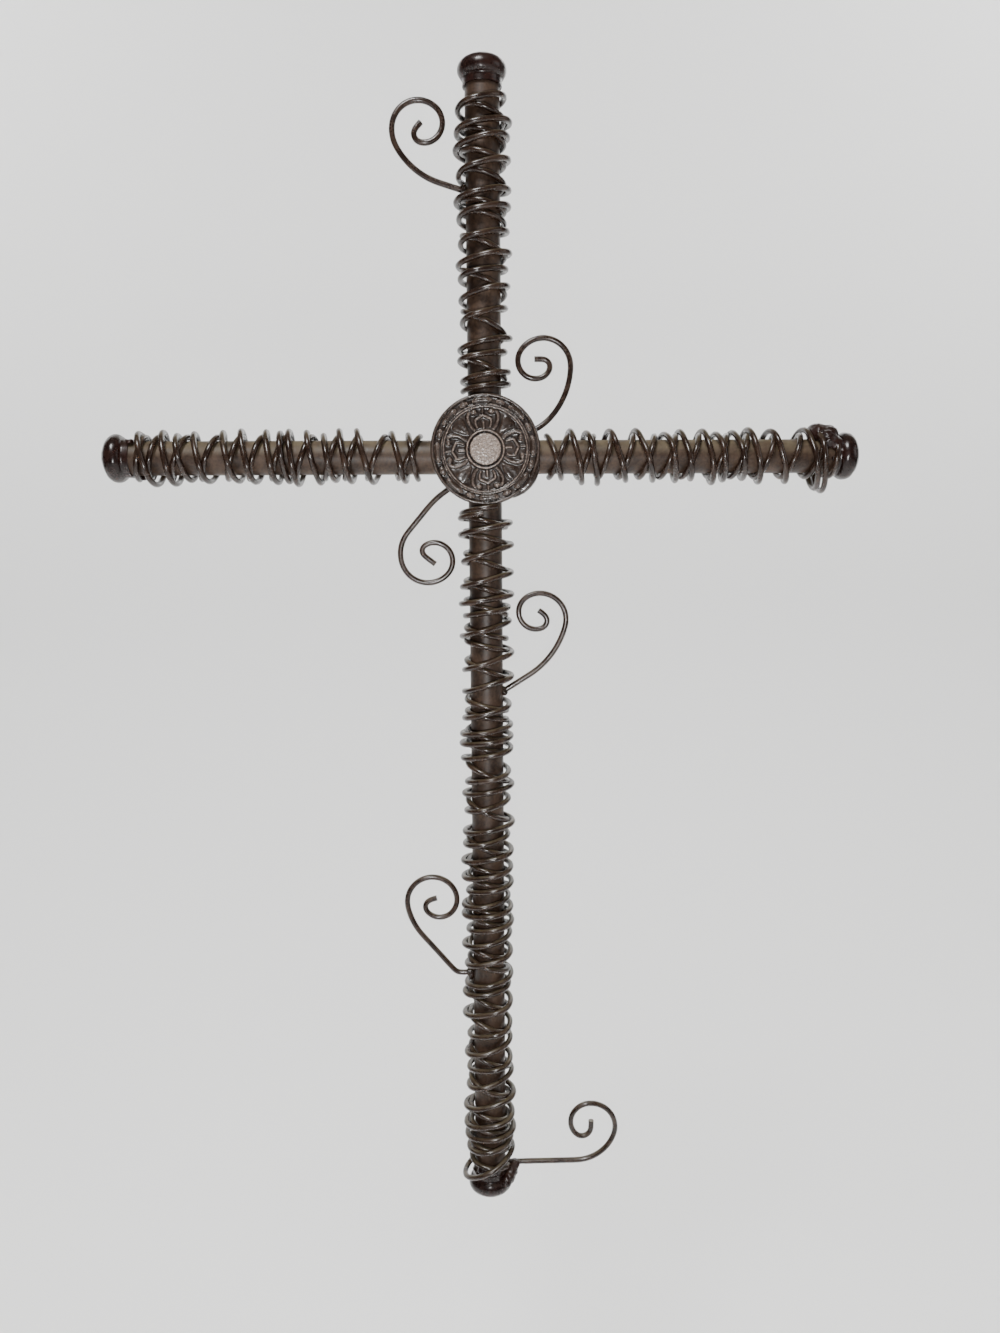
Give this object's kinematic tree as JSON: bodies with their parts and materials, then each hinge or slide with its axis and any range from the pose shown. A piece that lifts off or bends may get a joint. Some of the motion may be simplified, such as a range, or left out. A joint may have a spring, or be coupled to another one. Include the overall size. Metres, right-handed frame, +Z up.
{
  "type": "wrought iron wall cross",
  "caption": "Wall-hung cross of dark painted iron tube, bound with two layers of wire, with cast caps, a round cast medallion over the crossing and curled wire scrolls.",
  "frame": {"origin": "centre of the hanging hole, on the wall plane, straight behind the middle of the crossing", "axes": "+Z up along the shaft, +X to the right along the arms, +Y into the wall; the front faces -Y"},
  "size_m": [0.427, 0.0341, 0.6645],
  "materials": {
    "tube_paint": "semi-matt dark brown paint, dusty on top",
    "wire_paint": "semi-gloss dark brown paint",
    "cap_paint": "glossy reddish brown paint on cast iron",
    "medallion_paint": "glossy dark brown paint on cast relief, highlights rubbed",
    "strap_steel": "dull bare steel strap"
  },
  "bodies": {
    "root": {"shaft_tube": "tube_paint", "arm_tube_left": "tube_paint", "arm_tube_right": "tube_paint", "cap_top": "cap_paint", "cap_bottom": "cap_paint", "cap_left": "cap_paint", "cap_right": "cap_paint", "medallion": "medallion_paint", "hanging_strap": "strap_steel", "wire_top_inner": "wire_paint", "wire_top_outer": "wire_paint", "wire_bottom_inner": "wire_paint", "wire_bottom_outer": "wire_paint", "wire_left_inner": "wire_paint", "wire_left_outer": "wire_paint", "wire_right_inner": "wire_paint", "wire_right_outer": "wire_paint", "scroll_top_left": "wire_paint", "scroll_top_right": "wire_paint", "scroll_middle_left": "wire_paint", "scroll_middle_right": "wire_paint", "scroll_bottom_left": "wire_paint", "scroll_bottom_right": "wire_paint"}
  },
  "joints": []
}
